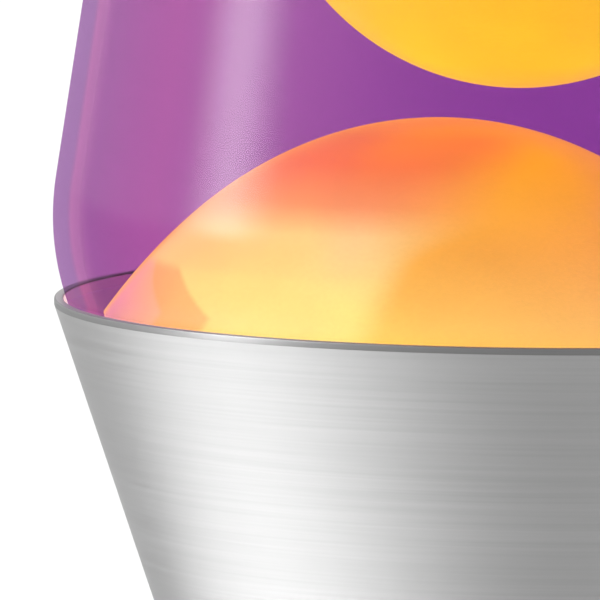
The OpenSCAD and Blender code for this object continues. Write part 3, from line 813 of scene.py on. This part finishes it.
def mound_column(wall, a):
    """Points of the mound at one angle: out from its top to the glass, then down the wall to the foot."""
    c, s = math.cos(a), math.sin(a)

    def dome(r):
        return dome_height(math.hypot(r * c + MOUND_LEAN, r * s))

    below = [p for p in wall if p[1] <= dome(p[0])]
    column = []
    for i in range(1, MOUND_RINGS + 1):
        r = below[-1][0] * i / MOUND_RINGS
        column.append((r * c, r * s, dome(r)))
    for i in range(1, MOUND_SIDES):
        t = (len(below) - 1) * (1 - i / MOUND_SIDES)
        j = min(int(t), len(below) - 2)
        r, z = between(below[j], below[j + 1], t - j)
        column.append((r * c, r * s, z))
    return column


def mound(wax):
    """The mound fills the globe's foot, and its leaning dome stops at the glass."""
    inset = GLASS_T + FILL_GAP + MOUND_GAP
    wall = []
    outline = [p for p in globe_outline(inset) if p[1] < RIM_Z + 3 * BELLY_RISE]
    for a, b in zip(outline, outline[1:]):
        parts = max(1, round(math.dist(a, b) / MOUND_STEP))
        wall += [between(a, b, i / parts) for i in range(parts)]
    columns = [mound_column(wall, 2 * math.pi * k / TURN_STEPS) for k in range(TURN_STEPS)]
    verts = [(0, 0, dome_height(MOUND_LEAN)), (0, 0, wall[0][1])] + [p for col in columns for p in col]
    n = len(columns[0])
    faces = []
    for k in range(TURN_STEPS):
        a = 2 + n * k
        b = 2 + n * ((k + 1) % TURN_STEPS)
        faces.append((0, a, b))
        faces += [(a + i, a + i + 1, b + i + 1, b + i) for i in range(n - 1)]
        faces.append((1, b + n - 1, a + n - 1))
    mesh = bpy.data.meshes.new("wax_mound_soft")
    mesh.from_pydata(verts, [], faces)
    finish_mesh(mesh, 60)
    piece = bpy.data.objects.new("wax_mound_soft", mesh)
    bpy.context.scene.collection.objects.link(piece)
    return stand_in(piece, "wax_mound", "wax", wax)


# ---------------------------------------------------------------- assembly

camera()
studio()
cone_metal = brushed_metal("brushed_aluminium", (0.45, 0.45, 0.45), (0.95, 0.95, 0.95))
# the same brushed metal at about half the brightness, a darker copy for the rolled rim: painted shade
lip_painted_shade_metal = brushed_metal("rolled_rim_painted_shade", (0.24, 0.24, 0.24), (1, 1, 1), 0.42)
inside_metal = satin("cone_inside", (0.5, 0.5, 0.5))
# the upper cone's inside, with a painted purple glow near the rim that stands in for the globe's light
inside_painted_glow = satin("cone_inside_painted_glow", (0.5, 0.5, 0.5), (0.55, 0.45, 0.62))
# the globe's tint by how square on it is seen; the lighter and warmer stops are painted reflection
glass = tinted_glass("tinted_globe", [
    (0.0, (0.66, 0.43, 0.676)), (0.14, (0.74, 0.53, 0.7)), (0.41, (0.756, 0.443, 0.663)),
    (0.63, (0.63, 0.33, 0.62)), (0.74, (0.7, 0.4, 0.65)), (0.77, (0.61, 0.41, 0.66)),
    (1.0, (0.64, 0.44, 0.68))])
glass_inside = inner_glass("tinted_globe_inside")
liquid = clear_liquid("purple_liquid", (0.62, 0.0, 0.74), 18.5)
wax = mound_wax("mound_wax")
soft_wax = floating_wax("floating_wax")
upper_cone(cone_metal, lip_painted_shade_metal, inside_painted_glow)
globe_shell(glass, glass_inside)
liquid_body(liquid)
mound(wax)
for name in ("wax_blob_large", "wax_blob_medium", "wax_blob_small"):
    blob(name, soft_wax)
lower_cone(cone_metal, inside_metal)
cap(cone_metal, inside_metal)

zinc = plain_metal("zinc_plated_steel", (0.62, 0.62, 0.64))
brass = plain_metal("brass", (0.8, 0.58, 0.24), 0.25)
rubber = grained("black_rubber", (0.012, 0.012, 0.012), (0.03, 0.03, 0.031), 0.7, 2400.0, 0.03 * MM)
FINISHES = [
    (zinc, ["waist_rivets", "plate_screws", "socket_bracket", "socket_screws"]),
    (brass, ["socket_screw_shell", "socket_center_contact", "terminal_screws"]),
    (rubber, ["rubber_feet", "cord_grommet"]),
    (grained("black_enamel", (0.02, 0.02, 0.022), (0.035, 0.035, 0.037), 0.4, 700.0, 0.02 * MM, 0.4),
     ["bottom_plate"]),
    (grained("porcelain", (0.8, 0.78, 0.72), (0.88, 0.87, 0.82), 0.3, 500.0, 0.01 * MM, 0.8),
     ["socket_body"]),
    (plain_metal("tin_solder", (0.6, 0.6, 0.6), 0.4), ["bulb_tip_contact"]),
    (plain_metal("nickelled_brass", (0.68, 0.66, 0.62), 0.25), ["bulb_screw_base"]),
    (grained("black_glass", (0.01, 0.01, 0.01), (0.02, 0.02, 0.02), 0.2, 600.0, 0.01 * MM, 0.6),
     ["bulb_insulator"]),
    (clear_glass("bulb_envelope", (0.97, 0.97, 0.97)), ["bulb_glass"]),
    (clear_glass("bulb_mount_glass", (0.9, 0.92, 0.91), 0.08), ["bulb_stem"]),
    (plain_metal("nickel_wire", (0.6, 0.58, 0.55), 0.35), ["bulb_lead_wires"]),
    (hot_wire("hot_filament", (1.0, 0.62, 0.25), 30.0), ["bulb_filament"]),
    (plain_metal("spring_wire", (0.5, 0.5, 0.52), 0.3), ["coil_spring"]),
    (grained("liner_grey", (0.3, 0.3, 0.3), (0.38, 0.38, 0.38), 0.6, 1200.0, 0.02 * MM), ["closure_liner"]),
    (plain_metal("tinplate_gold", (0.72, 0.56, 0.28), 0.28), ["crown_closure"]),
]
for finish, nodes in FINISHES:
    for node in nodes:
        NODES[node].data.materials.clear()
        NODES[node].data.materials.append(finish)
